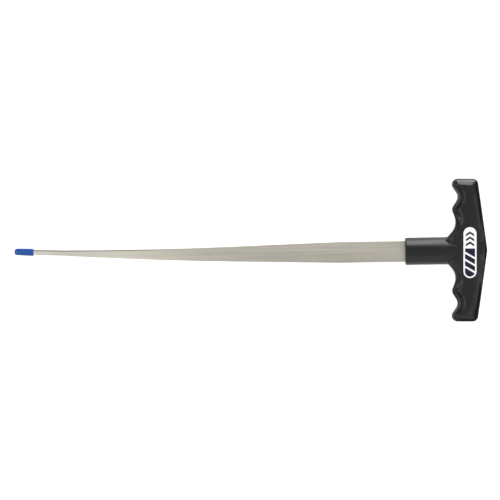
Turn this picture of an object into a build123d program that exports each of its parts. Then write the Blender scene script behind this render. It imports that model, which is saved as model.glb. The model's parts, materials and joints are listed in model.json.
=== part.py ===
"""T-handled insertion tool: a long tapered steel blade moulded into a plastic T-handle.

The tool lies flat. +X runs from the tip towards the back of the handle, +Y runs along
the crossbar and +Z is up. The origin is on the axis of the round neck, where the neck's
cylindrical wall starts. The blade's middle plane and the handle's parting plane are Z = 0.
"""

import os
from math import cos, sin

from build123d import *

# ---- Driving dimensions, in millimetres and degrees ----

# Neck: the round stub that the blade comes out of.
neck_radius = 9.6
neck_edge_rounding = 0.8
neck_front = -neck_edge_rounding
neck_wall_length = 26.5
neck_root_length = 8.5
neck_root_swell = 0.3
crease_rounding = 1.0

# Crossbar of the T-handle.
bar_length = 100.0
bar_thickness = 20.0
bar_edge_rounding = 3.7
handle_depth = 57.5
back_slope = 0.137
back_apex_radius = 10.0
back_corner_radius = 3.8
neck_skew = 0.9

# Blade: one strip, ground to a long taper.
blade_thickness = 2.0
blade_root_width = 14.8
blade_slim_width = 3.75
blade_tip_width = 3.4
blade_edge_rounding = 0.25
root_run = 46.0
straight_run = 120.0
slim_start = 239.0
blade_reach = 272.0
bend_radius = 2800.0

# Tang: the part of the strip that the handle is moulded around.
tang_length = 44.0
tang_hole_radius = 3.0
tang_hole_stations = (12.0, 34.0)

# Threading eye near the tip.
eye_width = 1.5
eye_length = 4.5
eye_from_tip = 6.5

# Tip cap: a soft dipped cap that pushes over the tip.
cap_mouth = 260.2
cap_end_wall = 1.55
cap_mouth_width = 5.1
cap_end_width = 4.5
cap_mouth_height = 3.8
cap_end_height = 3.5
cap_clearance = 0.06
cap_side_rounding = 1.7
cap_end_rounding = 1.5
cap_bore_overrun = 1.0

# Label on the crossbar's upper face.
label_width = 9.2
label_length = 35.6
label_thickness = 0.15
label_centre = (45.2, -1.75)
print_thickness = 0.05
print_border = 1.1
panel_length = 19.6
stripe_width = 1.3
stripe_count = 3
stripe_slant = 30.0
chevron_count = 3
chevron_width = 1.5
chevron_rise = 1.9
chevron_pitch = 3.5
chevron_margin = 0.6
mark_gap = 1.5


# ---- Blade ----


def blade_frame(station):
    """Plane across the blade at a distance from the neck's front face, facing the tip.

    Its local X runs to the blade's +Y edge. The blade is straight as far as straight_run,
    bends gently towards +Y on one arc, and is straight again along its slim end.
    """
    bent = min(max(0.0, station - straight_run), slim_start - straight_run)
    beyond = max(0.0, station - slim_start)
    turn = bent / bend_radius
    x = neck_front - min(station, straight_run) - bend_radius * sin(turn) - beyond * cos(turn)
    y = bend_radius * (1 - cos(turn)) + beyond * sin(turn)
    heading = (-cos(turn), sin(turn), 0)
    return Plane(origin=(x, y, 0), x_dir=(sin(turn), cos(turn), 0), z_dir=heading)


def blade_width(station):
    """Width of the strip: parallel root, long straight taper, slim end."""
    if station <= root_run:
        return blade_root_width
    if station <= slim_start:
        share = (station - root_run) / (slim_start - root_run)
        return blade_root_width + share * (blade_slim_width - blade_root_width)
    share = (station - slim_start) / (blade_reach - slim_start)
    return blade_slim_width + share * (blade_tip_width - blade_slim_width)


def edge_point(station, side, gap=0.0):
    """Point on one edge of the blade (side is +1 or -1), or outside it by a gap."""
    return blade_frame(station).from_local_coords((side * (blade_width(station) / 2 + gap), 0, 0))


def blade_side(side):
    """One long edge, from the tang's end to where the rounded tip starts."""
    bend_middle = (straight_run + slim_start) / 2
    return [
        Line(edge_point(-tang_length, side), edge_point(root_run, side)),
        Line(edge_point(root_run, side), edge_point(straight_run, side)),
        ThreePointArc(
            edge_point(straight_run, side),
            edge_point(bend_middle, side),
            edge_point(slim_start, side),
        ),
        Line(edge_point(slim_start, side), edge_point(tip_start, side)),
    ]


tip_start = blade_reach - blade_tip_width / 2


def tip_outline(start, gap):
    """Closed outline of the blade's end from a station to the tip, grown by a gap."""
    nose = blade_frame(blade_reach + gap).origin
    upper = edge_point(tip_start, 1, gap)
    lower = edge_point(tip_start, -1, gap)
    return [
        Line(edge_point(start, 1, gap), upper),
        ThreePointArc(upper, nose, lower),
        Line(lower, edge_point(start, -1, gap)),
        Line(edge_point(start, -1, gap), edge_point(start, 1, gap)),
    ]


def make_blade():
    nose = blade_frame(blade_reach).origin
    upper = edge_point(tip_start, 1)
    lower = edge_point(tip_start, -1)
    tang_end = Line(edge_point(-tang_length, 1), edge_point(-tang_length, -1))
    tip = ThreePointArc(upper, nose, lower)
    outline = make_face([*blade_side(1), *blade_side(-1), tang_end, tip])
    strip = extrude(outline, amount=blade_thickness / 2, both=True)
    faces = strip.faces().sort_by(Axis.Z)
    strip = fillet([*faces[0].edges(), *faces[-1].edges()], blade_edge_rounding)
    for station in tang_hole_stations:
        centre = blade_frame(-station).origin
        strip -= Pos(centre) * Cylinder(tang_hole_radius, 2 * blade_thickness)
    eye_place = Location(blade_frame(blade_reach - eye_from_tip))
    eye_slot = SlotOverall(eye_length, eye_width, rotation=90)
    eye = extrude(eye_slot, amount=blade_thickness, both=True)
    return strip - eye_place * Rot(X=90) * eye


# ---- Tip cap ----


def cap_section(station, width, height):
    across = blade_frame(station)
    return across * RectangleRounded(width, height, cap_side_rounding)


def make_tip_cap():
    cap_end = blade_reach + cap_end_wall
    mouth = cap_section(cap_mouth, cap_mouth_width, cap_mouth_height)
    end = cap_section(cap_end, cap_end_width, cap_end_height)
    cap = loft([mouth, end])
    end_face = cap.faces().sort_by(Axis.X)[0]
    cap = fillet(end_face.edges(), cap_end_rounding)
    cavity = make_face(tip_outline(cap_mouth - cap_bore_overrun, cap_clearance))
    return cap - extrude(cavity, amount=blade_thickness / 2 + cap_clearance, both=True)


# ---- Handle ----


def on_handle():
    """Place of the crossbar: its own X is the depth from the neck's front face.

    The crossbar stands a little off square to the neck, turned about the back apex.
    """
    apex = Pos(neck_front + handle_depth, 0, 0)
    return apex * Rot(Z=-neck_skew) * Pos(-handle_depth, 0, 0)


def crossbar_outline():
    """Outline with two finger grooves on each side of the neck."""
    half = bar_length / 2
    half_side = [
        (29.2, 8.7, 4.0),  # shoulder at the neck
        (36.9, 17.7, 11.0),  # inner finger groove
        (32.4, 28.9, 4.4),  # ridge between the fingers
        (37.9, 37.3, 5.5),  # outer finger groove
        (28.8, half, 4.0),  # front corner
        (handle_depth - back_slope * half, half, back_corner_radius),
    ]
    apex = (handle_depth, 0, back_apex_radius)
    other_half = [(x, -y, radius) for x, y, radius in reversed(half_side)]
    corners = [*half_side, apex, *other_half]
    points = [(x, y) for x, y, radius in corners]
    return FilletPolyline(points, radius=[radius for x, y, radius in corners], close=True)


def make_neck():
    """Round neck: a plain cylinder that swells a little at its root, where it meets the crossbar."""
    root_end = neck_wall_length + neck_root_length
    half_section = Polyline(
        (neck_front, 0),
        (neck_front, neck_radius),
        (neck_wall_length, neck_radius),
        (root_end, neck_radius + neck_root_swell),
        (root_end, 0),
        close=True,
    )
    neck = revolve(make_face(half_section), axis=Axis.X)
    front_face = neck.faces().sort_by(Axis.X)[0]
    return fillet(front_face.edges(), neck_edge_rounding)


def make_handle(blade):
    bar = extrude(make_face(crossbar_outline()), amount=bar_thickness / 2, both=True)
    faces = bar.faces().sort_by(Axis.Z)
    bar = fillet([*faces[0].edges(), *faces[-1].edges()], bar_edge_rounding)
    bar = on_handle() * bar
    neck = make_neck()
    handle = bar + neck
    handle = fillet(new_edges(bar, neck, combined=handle), crease_rounding)
    return handle - blade


# ---- Label ----


def label_place(height):
    x, y = label_centre
    return on_handle() * Pos(x, y, height) * Rot(Z=90)


def make_label():
    outline = SlotOverall(label_length, label_width)
    return label_place(bar_thickness / 2) * extrude(outline, amount=label_thickness)


def make_label_print():
    """Printed panel with slanted stripes left blank, and plain chevrons beside it."""
    inner_length = label_length - 2 * print_border
    inner_width = label_width - 2 * print_border
    inner = SlotOverall(inner_length, inner_width)
    half_inner = inner_length / 2
    panel = inner & Pos(panel_length / 2 - half_inner, 0) * Rectangle(panel_length, inner_width)
    pitch = panel_length / (stripe_count + 1)
    for number in range(stripe_count):
        x = (number + 1) * pitch - half_inner
        panel -= Pos(x, 0) * Rot(Z=-stripe_slant) * Rectangle(stripe_width, 2 * inner_width)
    chevrons = []
    for number in range(chevron_count):
        x = panel_length - half_inner + mark_gap + number * chevron_pitch
        half_height = inner_width / 2 - chevron_margin
        outline = Polyline(
            (x, half_height),
            (x + chevron_width, half_height),
            (x + chevron_width + chevron_rise, 0),
            (x + chevron_width, -half_height),
            (x, -half_height),
            (x + chevron_rise, 0),
            close=True,
        )
        chevrons.append(make_face(outline))
    marks = Sketch() + [panel, *chevrons]
    height = bar_thickness / 2 + label_thickness
    return label_place(height) * extrude(marks, amount=print_thickness)


blade = make_blade()
parts = {
    "blade": blade,
    "handle": make_handle(blade),
    "tip_cap": make_tip_cap(),
    "label": make_label(),
    "label_print": make_label_print(),
}

os.makedirs("parts", exist_ok=True)
for node, shape in parts.items():
    export_step(shape, f"parts/{node}.step")
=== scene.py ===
import json
from math import atan2, cos, pi, radians, sin, sqrt

import bpy
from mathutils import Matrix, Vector
from mathutils.bvhtree import BVHTree


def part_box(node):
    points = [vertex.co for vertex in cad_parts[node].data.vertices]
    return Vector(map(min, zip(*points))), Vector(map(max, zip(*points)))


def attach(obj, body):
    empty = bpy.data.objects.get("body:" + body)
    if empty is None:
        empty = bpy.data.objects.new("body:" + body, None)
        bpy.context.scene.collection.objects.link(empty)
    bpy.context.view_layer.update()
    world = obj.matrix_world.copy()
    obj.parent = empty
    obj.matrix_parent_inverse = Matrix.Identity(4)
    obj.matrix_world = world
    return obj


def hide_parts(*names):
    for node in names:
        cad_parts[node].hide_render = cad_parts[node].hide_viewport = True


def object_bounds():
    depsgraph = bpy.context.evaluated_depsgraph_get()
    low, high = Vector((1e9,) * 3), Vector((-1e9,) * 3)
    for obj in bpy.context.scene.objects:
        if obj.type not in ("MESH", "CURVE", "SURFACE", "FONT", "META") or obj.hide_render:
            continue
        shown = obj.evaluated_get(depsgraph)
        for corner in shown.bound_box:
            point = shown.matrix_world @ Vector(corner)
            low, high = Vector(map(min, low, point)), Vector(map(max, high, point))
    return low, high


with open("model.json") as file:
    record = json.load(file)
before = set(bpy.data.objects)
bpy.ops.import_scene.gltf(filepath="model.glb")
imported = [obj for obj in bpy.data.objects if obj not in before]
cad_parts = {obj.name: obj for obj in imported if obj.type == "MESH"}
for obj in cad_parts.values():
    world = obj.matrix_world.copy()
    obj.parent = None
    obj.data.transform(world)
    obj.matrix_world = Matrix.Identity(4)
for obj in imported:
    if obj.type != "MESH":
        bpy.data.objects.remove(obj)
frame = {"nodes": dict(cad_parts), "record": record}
cad_low, cad_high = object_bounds()


# ---- Camera ----
# Straight above the tool and far off, behind a very long lens. It is turned so that the crossbar
# stands upright in the picture: the crossbar is a little off square to the blade.

mm = 0.001
view_width = 350.15 * mm
lens_length = 600.0
sensor_width = 36.0
camera_turn = -0.9
camera_height = view_width * lens_length / sensor_width
camera_shift = 0.53 * mm
camera_x = (cad_low.x + cad_high.x) / 2 - camera_shift
camera_y = 2.68 * mm
bpy.ops.object.camera_add(
    location=(camera_x, camera_y, camera_height), rotation=(0, 0, radians(camera_turn))
)
camera = bpy.context.object
camera.name = "camera"
camera.data.lens = lens_length
camera.data.sensor_width = sensor_width
bpy.context.scene.camera = camera


# ---- Blade ----
# One strip of bright spring steel. It is sheared to its long taper, then ground lengthwise on a
# belt. The handle is moulded around its tang. Its colour carries a painted reflection, lighter
# toward the slim end, and a painted shade line along its upper edge.


class Wire:
    """One output of a finish's node. Arithmetic on it adds Math nodes."""

    def __init__(self, finish, socket):
        self.finish = finish
        self.socket = socket

    def maths(self, operation, first, second):
        return self.finish.node("Math", {"operation": operation}, {0: first, 1: second})

    def __add__(self, other):
        return self.maths("ADD", self, other)

    def __radd__(self, other):
        return self.maths("ADD", other, self)

    def __sub__(self, other):
        return self.maths("SUBTRACT", self, other)

    def __rsub__(self, other):
        return self.maths("SUBTRACT", other, self)

    def __mul__(self, other):
        return self.maths("MULTIPLY", self, other)

    def __rmul__(self, other):
        return self.maths("MULTIPLY", other, self)

    def __truediv__(self, other):
        return self.maths("DIVIDE", self, other)

    def __abs__(self):
        return self.maths("ABSOLUTE", self, 0.0)


class Finish:
    """A material with one Principled shader. Its constant sockets are set when it is made."""

    # The colour sockets of a Mix node: its two inputs and its output.
    first_colour = 6
    second_colour = 7
    mixed_colour = 2

    def __init__(self, name, constants):
        self.material = bpy.data.materials.new(name)
        self.material.use_nodes = True
        self.tree = self.material.node_tree
        self.shader = self.tree.nodes["Principled BSDF"]
        for socket, value in constants.items():
            self.shader.inputs[socket].default_value = value

    def feed(self, socket, value):
        if isinstance(value, Wire):
            self.tree.links.new(value.socket, socket)
        else:
            socket.default_value = value

    def node(self, kind, settings, inputs, output=0):
        """Adds a node: its settings first, then the value or link of each socket."""
        made = self.tree.nodes.new("ShaderNode" + kind)
        for name, value in settings.items():
            if name == "stops":
                ramp = made.color_ramp.elements
                while len(ramp) < len(value):
                    ramp.new(0.5)
                for stop, (position, level) in zip(ramp, value):
                    stop.position = position
                    stop.color = (level, level, level, 1.0)
            else:
                setattr(made, name, value)
        for socket, value in inputs.items():
            self.feed(made.inputs[socket], value)
        return Wire(self, made.outputs[output])

    def along(self, axis):
        """Distance along an axis of the frame, in millimetres."""
        place = self.node("TexCoord", {}, {}, "Object")
        return self.node("SeparateXYZ", {}, {0: place}, axis) * (1 / mm)

    def noise(self, grain, stretch=(1, 1, 1), detail=3.0, roughness=0.5):
        """Cloudy pattern from 0 to 1 with grains of a size in metres, longer where stretched."""
        place = self.node("TexCoord", {}, {}, "Object")
        squeeze = [1 / length for length in stretch]
        spot = self.node("Mapping", {}, {"Vector": place, "Scale": squeeze})
        inputs = {"Vector": spot, "Scale": 1 / grain, "Detail": detail, "Roughness": roughness}
        return self.node("TexNoise", {}, inputs)

    def ramp(self, value, *stops):
        return self.node("ValToRGB", {"stops": stops}, {0: value})

    def limit(self, value, low, high):
        return self.node("Clamp", {}, {"Value": value, "Min": low, "Max": high})

    def blend(self, share, first, second):
        """Goes from the first colour to the second as the share goes from 0 to 1."""
        inputs = {"Factor": share, self.first_colour: first, self.second_colour: second}
        return self.node("Mix", {"data_type": "RGBA"}, inputs, self.mixed_colour)

    def shade(self, colour, level):
        """Multiplies a colour by a level."""
        settings = {"data_type": "RGBA", "blend_type": "MULTIPLY"}
        inputs = {"Factor": 1.0, self.first_colour: colour, self.second_colour: level}
        return self.node("Mix", settings, inputs, self.mixed_colour)

    def bump(self, height, depth):
        """Tilts the surface by a height pattern, with a depth in metres from 0 to 1."""
        return self.node("Bump", {}, {"Height": height, "Distance": depth, "Strength": 1.0})

    def show(self, **sockets):
        for name, value in sockets.items():
            self.feed(self.shader.inputs[name.replace("_", " ")], value)


# The blade's outline in millimetres, as far as the patterns along its edges need it.
neck_face = -0.8
root_run = 46.0
straight_run = 120.0
slim_start = 239.0
bend_radius = 2800.0
root_half_width = 7.4
slim_half_width = 1.875
tip_half_width = 1.7
blade_reach = 272.0

steel = Finish("blade_steel", {"Metallic": 1.0, "Anisotropic": 0.5})
station = neck_face - steel.along("X")
bent = steel.limit(station - straight_run, 0.0, slim_start - straight_run)
beyond = steel.limit(station - slim_start, 0.0, blade_reach - slim_start)
middle = bent * bent / (2 * bend_radius) + beyond * ((slim_start - straight_run) / bend_radius)
tapered = steel.limit(station - root_run, 0.0, slim_start - root_run)
taper_rate = (root_half_width - slim_half_width) / (slim_start - root_run)
slim_rate = (slim_half_width - tip_half_width) / (blade_reach - slim_start)
half_width = root_half_width - tapered * taper_rate - beyond * slim_rate
from_upper_edge = middle + half_width - steel.along("Y")
from_lower_edge = half_width + steel.along("Y") - middle

broad_lines = steel.noise(1.1 * mm, stretch=(120, 1, 1))
fine_lines = steel.noise(0.24 * mm, stretch=(160, 1, 1), detail=2.0)
cloud = steel.noise(28 * mm, stretch=(2, 1, 1), detail=5.0)
scuffs = steel.ramp(steel.noise(3.8 * mm, stretch=(8, 1, 1), detail=6.0), (0.60, 0.0), (0.72, 1.0))
slimness = steel.ramp(station / blade_reach, (0.50, 0.0), (0.70, 1.0))
# Painted shade: a darker line along the blade's upper edge, wider and deeper toward the slim end.
painted_edge_shade_width = 0.50 + 0.65 * slimness
painted_edge_shade_depth = 0.10 + 0.50 * slimness
lower_line_reach = 1.6
painted_edge_shade = steel.ramp(from_upper_edge / painted_edge_shade_width, (0.45, 1.0), (1.0, 0.0))
lower_line = steel.ramp(from_lower_edge / lower_line_reach, (0.35, 0.0), (0.55, 1.0), (0.75, 0.0))
sheared = steel.ramp(abs(steel.along("Z")), (0.93, 1.0), (0.985, 0.0))
lines = 0.38 * (broad_lines - 0.5) + 0.30 * (fine_lines - 0.5) + 0.34 * (cloud - 0.5)
# Darkening of the steel's colour: scuffs, the painted edge shade, a faint band inside the lower
# edge, and the darker sheared edge walls.
wear_and_painted_shade = 0.06 * scuffs + painted_edge_shade * painted_edge_shade_depth + 0.03 * lower_line + 0.15 * sheared
steel_roughness = 0.31 + 0.12 * (fine_lines - 0.5) + 0.10 * (cloud - 0.5)
steel_roughness += 0.06 * scuffs + 0.15 * sheared
# Painted reflection: the steel is coloured lighter toward the slim end, standing in for the brighter
# reflection it shows there.
root_steel = (0.68, 0.645, 0.558, 1.0)
slim_steel_painted_bright = (0.94, 0.910, 0.780, 1.0)
steel.show(
    Base_Color=steel.shade(steel.blend(slimness, root_steel, slim_steel_painted_bright), 1.0 + lines - wear_and_painted_shade),
    Roughness=steel_roughness,
    Normal=steel.bump(0.6 * broad_lines + 0.4 * fine_lines, 0.004 * mm),
)
blade = frame["nodes"]["blade"]
blade.data.materials.clear()
blade.data.materials.append(steel.material)


# ---- Handle ----
# One black plastic moulding, crossbar and neck together, moulded straight onto the blade's tang.
# Its edges are generously rounded, and a thin witness line runs round it at mid-height, where the
# two halves of the mould met. The underside has the mark of the gate and of two ejector pins.

bpy.ops.object.select_all(action="DESELECT")
handle = frame["nodes"]["handle"].copy()
handle.data = handle.data.copy()
handle.name = "moulded_handle"
bpy.context.collection.objects.link(handle)
handle.parent = None
bpy.context.view_layer.objects.active = handle
handle.select_set(True)
same_point = 0.002 * mm
bpy.ops.object.mode_set(mode="EDIT")
bpy.ops.mesh.select_all(action="SELECT")
bpy.ops.mesh.remove_doubles(threshold=same_point)
bpy.ops.mesh.customdata_custom_splitnormals_clear()
bpy.ops.object.mode_set(mode="OBJECT")

# The crossbar's upright walls, as the frame has them, give each point's depth behind the outline.
neck = next(mount for mount in frame["record"]["mounts"] if mount["name"] == "neck")
neck_radius = neck["dims"]["r_mm"] * mm
neck_wall = neck["dims"]["length_mm"] * mm
neck_swell = 0.035
bar_front = 28.4 * mm
first_wall = bar_front + 0.3 * mm
wall_tilt = 0.1
corners = [vertex.co.copy() for vertex in handle.data.vertices]
walls = [
    tuple(face.vertices)
    for face in handle.data.polygons
    if abs(face.normal.z) < wall_tilt and face.center.x > first_wall
]
outline = BVHTree.FromPolygons(corners, walls)

# The plastic goes on through the tang's place, and an even mesh replaces the loose facets.
tang_low, tang_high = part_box("blade")
tang_length = 43 * mm
plug_thickness = 3 * mm
plug_middle = (neck_face * mm + tang_length / 2, 0, 0)
plug_size = (tang_length, tang_high.y - tang_low.y, plug_thickness)
bpy.ops.mesh.primitive_cube_add(size=1, location=plug_middle, scale=plug_size)
bpy.ops.object.transform_apply(location=True, rotation=True, scale=True)
handle.select_set(True)
bpy.context.view_layer.objects.active = handle
bpy.ops.object.join()
mesh_step = 0.5 * mm
remesh = handle.modifiers.new("even_mesh", "REMESH")
remesh.mode = "VOXEL"
remesh.voxel_size = mesh_step
bpy.ops.object.modifier_apply(modifier="even_mesh")

# The rounding is larger than the outline's own corners, so it is worked out from the depth.
half_thickness = 10.0 * mm
frame_rounding = 3.7 * mm
front_rounding = 8.4 * mm
back_rounding = 5.9 * mm
end_rounding = 7.6 * mm
front_to_back = (38 * mm, 46 * mm)
middle_to_end = (36 * mm, 46 * mm)
shaped_from = bar_front - 1.2 * mm

# The top stays flat under the label and a small margin round it. The smoothing that follows fades
# in behind the outline and round that flat pad, and leaves both as they are.
label_low, label_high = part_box("label")
label_middle = (label_low + label_high) / 2
pad_margin = 0.4 * mm
pad_radius = (label_high.x - label_low.x) / 2 + pad_margin
pad_half_run = (label_high.y - label_low.y) / 2 - pad_radius
pad_slope = 0.3
pad_fade = (0.0, 0.3 * mm)
outline_fade = (0.5 * mm, 3 * mm)


def ease(value, start, full):
    """Goes softly from 0 to 1 as the value goes from the start to the full place."""
    share = min(1.0, max(0.0, (value - start) / (full - start)))
    return share * share * (3 - 2 * share)


def rounded_height(depth, rounding):
    """Half height of the crossbar at a depth behind its outline."""
    short = max(0.0, rounding - depth)
    return half_thickness - rounding + sqrt(rounding**2 - short**2)


def pad_height(x, y):
    """Half height of the flat pad under the label, which falls off gently all round."""
    beyond_run = max(0.0, abs(y - label_middle.y) - pad_half_run)
    away = sqrt((x - label_middle.x) ** 2 + beyond_run**2) - pad_radius
    return half_thickness - pad_slope * max(0.0, away)


smoothed = handle.vertex_groups.new(name="smoothed")
for vertex in handle.data.vertices:
    x, y, z = vertex.co
    if x < shaped_from:
        continue
    depth = outline.find_nearest((x, y, 0))[3]
    softness = ease(depth, *outline_fade)
    if z > half_thickness / 2:
        softness *= ease(half_thickness - pad_height(x, y), *pad_fade)
    smoothed.add([vertex.index], softness, "REPLACE")
    if abs(y) < neck_radius:
        depth = min(depth, max(0.0, x - bar_front))
    rounding = front_rounding + ease(x, *front_to_back) * (back_rounding - front_rounding)
    rounding += ease(abs(y), *middle_to_end) * (end_rounding - rounding)
    lowered = abs(z) * rounded_height(depth, rounding) / rounded_height(depth, frame_rounding)
    if z > half_thickness / 2:
        lowered = max(lowered, min(z, pad_height(x, y)))
    swollen = neck_radius + max(0.0, x - neck_wall) * neck_swell
    neck_height = sqrt(max(0.0, swollen**2 - y**2))
    height = max(lowered, min(abs(z), neck_height))
    vertex.co.z = height if z > 0 else -height

soften = handle.modifiers.new("soften", "SMOOTH")
soften.use_x = False
soften.use_y = False
soften.vertex_group = "smoothed"
soften.factor = 0.5
soften.iterations = 45
bpy.ops.object.modifier_apply(modifier="soften")

# Witness line of the mould: a fine groove round the whole handle at mid-height.
line_half_width = 0.16 * mm
line_depth = 0.07 * mm
on_the_line = 0.001 * mm
bpy.ops.object.mode_set(mode="EDIT")
for height in (-line_half_width, 0.0, line_half_width):
    bpy.ops.mesh.select_all(action="SELECT")
    bpy.ops.mesh.bisect(plane_co=(0, 0, height), plane_no=(0, 0, 1))
bpy.ops.object.mode_set(mode="OBJECT")
for vertex in handle.data.vertices:
    if abs(vertex.co.z) < on_the_line:
        vertex.co -= vertex.normal * line_depth

# Marks of the mould in the underside, sunk flat-bottomed rounds: where across the crossbar they
# lie, their radius and their depth. The mesh is made finer along each mark's rim.
mark_x = 44.5 * mm
gate = (0.0, 2.0 * mm, 0.35 * mm)
upper_pin = (33.0 * mm, 2.5 * mm, 0.15 * mm)
lower_pin = (-33.0 * mm, 2.5 * mm, 0.15 * mm)
mark_wall = 0.15 * mm
rim_width = 0.8 * mm
underside = -8 * mm


def select_faces(piece, wanted):
    """Selects the faces of the piece in edit mode for which a test holds."""
    bpy.ops.object.mode_set(mode="OBJECT")
    for element in (piece.data.vertices, piece.data.edges):
        for item in element:
            item.select = False
    for face in piece.data.polygons:
        face.select = wanted(face)
    bpy.ops.object.mode_set(mode="EDIT")
    bpy.ops.mesh.select_mode(type="FACE")


def from_mark(place, mark_y):
    """How far a place is from the middle of a mark, seen from below."""
    return sqrt((place.x - mark_x) ** 2 + (place.y - mark_y) ** 2)


def at_rim(face):
    """True for the faces below along the rim of the mark in hand."""
    return face.center.z < underside and abs(from_mark(face.center, mark_y) - radius) < rim_width


for mark_y, radius, sunk in (gate, upper_pin, lower_pin):
    select_faces(handle, at_rim)
    bpy.ops.mesh.subdivide(number_cuts=4)
    bpy.ops.object.mode_set(mode="OBJECT")
    for vertex in handle.data.vertices:
        inside = radius - from_mark(vertex.co, mark_y)
        if vertex.co.z < underside and inside > 0:
            vertex.co.z += sunk * min(1.0, inside / mark_wall)
bpy.ops.object.shade_smooth()

plastic = Finish("handle_plastic", {"Specular IOR Level": 0.45})
grain = plastic.noise(0.28 * mm, detail=2.0)
peel = plastic.noise(1.3 * mm, detail=3.0, roughness=0.6)
worn = plastic.noise(14 * mm, detail=5.0)
rubs = plastic.ramp(plastic.noise(2.2 * mm, stretch=(1, 4, 1), detail=6.0), (0.60, 0.0), (0.74, 1.0))
plastic_roughness = 0.37 + 0.14 * (worn - 0.5) + 0.22 * (peel - 0.5)
plastic_roughness += 0.08 * (grain - 0.5) - 0.06 * rubs
black = (0.0022, 0.0020, 0.0032, 1.0)
worn_black = (0.0080, 0.0066, 0.0072, 1.0)
plastic.show(
    Base_Color=plastic.blend(worn + 0.9 * (peel - 0.5) + 0.5 * rubs, black, worn_black),
    Roughness=plastic_roughness,
    Normal=plastic.bump(0.3 * grain + 0.7 * peel, 0.06 * mm),
)
handle.data.materials.clear()
handle.data.materials.append(plastic.material)
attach(handle, "tool")
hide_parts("handle")


# ---- Tip cap ----
# A soft blue vinyl cap, dipped on a flat former, so its walls are rounded and a little uneven. It
# is pushed over the tip and pulls off.

cap_low, cap_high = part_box("tip_cap")
cap_turn = (slim_start - straight_run) / bend_radius
mouth_width = 5.1 * mm
mouth_height = 3.8 * mm
end_width = 4.6 * mm
end_height = 3.5 * mm
cap_length = 13.33 * mm
corner_rounding = 1.6 * mm
cap_end_rounding = 1.45 * mm
end_stretch = 1.7
lip_rounding = 0.2 * mm
bore_width = 3.72 * mm
bore_height = 2.16 * mm
bore_depth = 11.95 * mm
cap_mouth = Vector(
    (
        cap_high.x - sin(cap_turn) * mouth_width / 2,
        cap_low.y + cos(cap_turn) * mouth_width / 2,
        0,
    )
)

bpy.ops.object.select_all(action="DESELECT")
bpy.ops.mesh.primitive_cube_add(
    size=1, location=(-cap_length / 2, 0, 0), scale=(cap_length, mouth_width, mouth_height)
)
cap = bpy.context.object
cap.name = "dipped_cap"
bpy.ops.object.transform_apply(location=True, rotation=True, scale=True)
select_faces(cap, lambda face: face.normal.x < -0.9)
bpy.ops.transform.resize(value=(1, end_width / mouth_width, end_height / mouth_height))
bpy.ops.object.mode_set(mode="OBJECT")
for edge in cap.data.edges:
    ends = [cap.data.vertices[index].co.x for index in edge.vertices]
    edge.select = abs(ends[0] - ends[1]) > cap_length / 2
for face in cap.data.polygons:
    face.select = False
bpy.ops.object.mode_set(mode="EDIT")
bpy.ops.mesh.select_mode(type="EDGE")
bpy.ops.mesh.bevel(offset=corner_rounding, segments=6, affect="EDGES")
select_faces(cap, lambda face: face.normal.x < -0.9)
bpy.ops.mesh.region_to_loop()
bpy.ops.mesh.bevel(offset=cap_end_rounding, segments=7, affect="EDGES")
select_faces(cap, lambda face: face.center.x < cap_end_rounding - cap_length)
bpy.ops.transform.resize(value=(end_stretch, 1, 1), center_override=(-cap_length, 0, 0))
select_faces(cap, lambda face: face.normal.x > 0.9)
bpy.ops.mesh.region_to_loop()
bpy.ops.mesh.bevel(offset=lip_rounding, segments=3, affect="EDGES")
select_faces(cap, lambda face: face.normal.x > 0.95)
lip = 0.3 * mm
bpy.ops.mesh.inset(thickness=lip)
opening_width = mouth_width - 2 * (lip_rounding + lip)
opening_height = mouth_height - 2 * (lip_rounding + lip)
bpy.ops.transform.resize(value=(1, bore_width / opening_width, bore_height / opening_height))
bpy.ops.mesh.extrude_region_move(TRANSFORM_OT_translate={"value": (-bore_depth, 0, 0)})

# Rings cut round the cap let its outside ripple a little, along the cap and round it. The bore
# stays as it is.
ring_count = 11
ring_step = 1 * mm
for ring in range(1, ring_count + 1):
    bpy.ops.mesh.select_all(action="SELECT")
    bpy.ops.mesh.bisect(plane_co=(-ring * ring_step, 0, 0), plane_no=(1, 0, 0))
bpy.ops.object.mode_set(mode="OBJECT")
ripple_depth = 0.025 * mm
ripple_length = 1.9 * mm
shrinkage = 0.010
beside_bore = 0.02 * mm
behind_bore = 0.1 * mm
for vertex in cap.data.vertices:
    x, y, z = vertex.co
    outside = abs(y) > bore_width / 2 + beside_bore or abs(z) > bore_height / 2 + beside_bore
    if outside or x < -bore_depth - behind_bore:
        ripple = ripple_depth * sin(x / ripple_length) * sin(3 * atan2(z, y) + 1.0)
        vertex.co.y = y * (1 + 2 * ripple / mouth_width - shrinkage)
        vertex.co.z = z * (1 - 2 * abs(ripple) / mouth_height)
cap.location = cap_mouth
cap.rotation_euler.z = -cap_turn
bpy.ops.object.transform_apply(location=True, rotation=True, scale=True)
bpy.ops.object.shade_smooth()

vinyl = Finish("cap_vinyl", {"Specular IOR Level": 0.65})
mottle = vinyl.noise(1.6 * mm, detail=4.0)
dust = vinyl.ramp(vinyl.noise(0.35 * mm, detail=5.0), (0.62, 0.0), (0.75, 1.0))
deep_blue = (0.001, 0.068, 0.31, 1.0)
light_blue = (0.003, 0.092, 0.39, 1.0)
vinyl.show(
    Base_Color=vinyl.blend(mottle + 0.3 * dust, deep_blue, light_blue),
    Roughness=0.22 + 0.12 * (mottle - 0.5) + 0.12 * dust,
    Normal=vinyl.bump(mottle, 0.012 * mm),
)
cap.data.materials.clear()
cap.data.materials.append(vinyl.material)
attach(cap, "cap")
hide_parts("tip_cap")


# ---- Label ----
# A stadium of white self-adhesive film pressed onto the crossbar, printed in dark ink with a
# plain striped panel and three chevrons. Its satin face is lightly scuffed.

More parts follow.
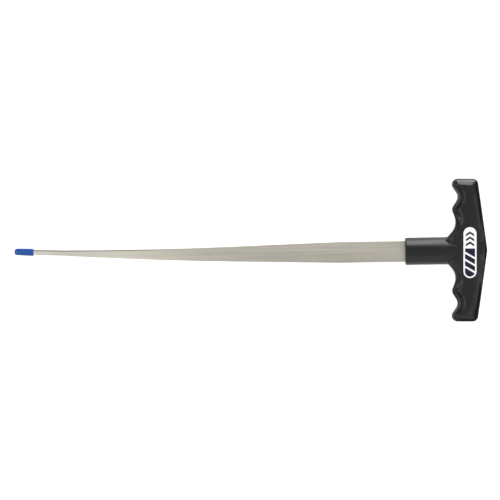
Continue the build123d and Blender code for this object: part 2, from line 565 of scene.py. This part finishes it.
film = Finish("label_film", {"Specular IOR Level": 0.35})
ink = Finish("label_ink", {"Specular IOR Level": 0.35})
white = (0.98, 0.98, 0.99, 1.0)
soiled_white = (0.91, 0.905, 0.89, 1.0)
navy = (0.004, 0.006, 0.026, 1.0)
faded_navy = (0.009, 0.012, 0.045, 1.0)
layers = {"label": (film, white, soiled_white), "label_print": (ink, navy, faded_navy)}
for node, (finish, clean, soiled) in layers.items():
    handling = finish.noise(6 * mm, detail=5.0)
    scratches = finish.noise(0.5 * mm, stretch=(1, 12, 1), detail=4.0)
    hairlines = finish.ramp(scratches, (0.63, 0.0), (0.72, 1.0))
    finish.show(
        Base_Color=finish.blend(0.6 * (handling - 0.3) + 0.3 * hairlines, clean, soiled),
        Roughness=0.42 + 0.12 * (handling - 0.5) + 0.20 * hairlines,
        Normal=finish.bump(finish.noise(1.8 * mm), 0.008 * mm),
    )
    piece = frame["nodes"][node]
    piece.data.materials.clear()
    piece.data.materials.append(finish.material)


# ---- Floor ----
# A white sheet. The tool is blade-heavy, so it lies tipped forward on the neck's front edge and
# the cap: the sheet leans to touch both. It isn't seen in reflections, which stay dark.

sheet_size = 12
floor_gap = 0.05 * mm
floor_height = -neck_radius - floor_gap
lean = atan2(neck_radius + cap_low.z, -cap_high.x)
bpy.ops.mesh.primitive_plane_add(
    size=sheet_size, location=(0, 0, floor_height), rotation=(0, lean, 0)
)
floor = bpy.context.object
floor.name = "floor"
paper = Finish("floor_paper", {"Roughness": 0.9, "Emission Strength": 0.86})
paper.shader.inputs["Emission Color"].default_value = (1, 1, 1, 1)
paper.shader.inputs["Base Color"].default_value = (0.5, 0.5, 0.5, 1)
floor.data.materials.append(paper.material)
floor.visible_glossy = False
floor.visible_diffuse = False


# ---- Light ----
# Soft boxes in a dim room. The brightest stands low beside the handle, the others hang overhead
# and lean in from the tip, the back and the front. A glowing card lies just under the sheet: only
# reflections see it, as a pale rim on the neck and the finger grooves.

bpy.context.scene.view_settings.view_transform = "Standard"
world = bpy.data.worlds.new("studio")
bpy.context.scene.world = world
world.use_nodes = True
world.node_tree.nodes["Background"].inputs["Color"].default_value = (1, 1, 1, 1)
world.node_tree.nodes["Background"].inputs["Strength"].default_value = 0.12


def softbox(name, place, aim, width, height, radiance):
    """A large even light that looks at a point. The camera doesn't see it."""
    data = bpy.data.lights.new(name, "AREA")
    data.shape = "RECTANGLE"
    data.size = width
    data.size_y = height
    data.energy = radiance * pi * width * height
    lamp = bpy.data.objects.new(name, data)
    lamp.location = place
    lamp.rotation_euler = (Vector(aim) - Vector(place)).to_track_quat("-Z", "Y").to_euler()
    lamp.visible_camera = False
    bpy.context.collection.objects.link(lamp)


tool_middle = (-0.11, 0, 0)
grip = (0.03, 0, 0)
softbox("overhead", (-0.11, 0, 2.2), tool_middle, 2.4, 2.4, 0.50)
softbox("window", (0.28, 0.95, 0.05), (0.28, 0, 0.05), 1.0, 1.3, 6.4)
softbox("tip_side", (-1.9, 0, 1.5), tool_middle, 1.6, 0.8, 3.8)
softbox("back_side", (1.9, 0, 1.5), tool_middle, 1.6, 0.9, 1.8)
softbox("back_corner", (1.0, -0.9, 1.7), grip, 1.0, 1.0, 2.0)
softbox("front_fill", (0.0, -1.5, 0.7), grip, 2.6, 1.7, 0.95)

card_size = 0.25
card_middle = (-0.095, 0, floor_height - 1 * mm)
bpy.ops.mesh.primitive_plane_add(size=card_size, location=card_middle, rotation=(0, lean, 0))
card = bpy.context.object
card.name = "card"
glow = Finish("card_glow", {"Emission Strength": 1.0, "Base Color": (0, 0, 0, 1)})
glow.shader.inputs["Emission Color"].default_value = (1, 1, 1, 1)
card.data.materials.append(glow.material)
card.visible_camera = False
card.visible_diffuse = False
card.visible_shadow = False
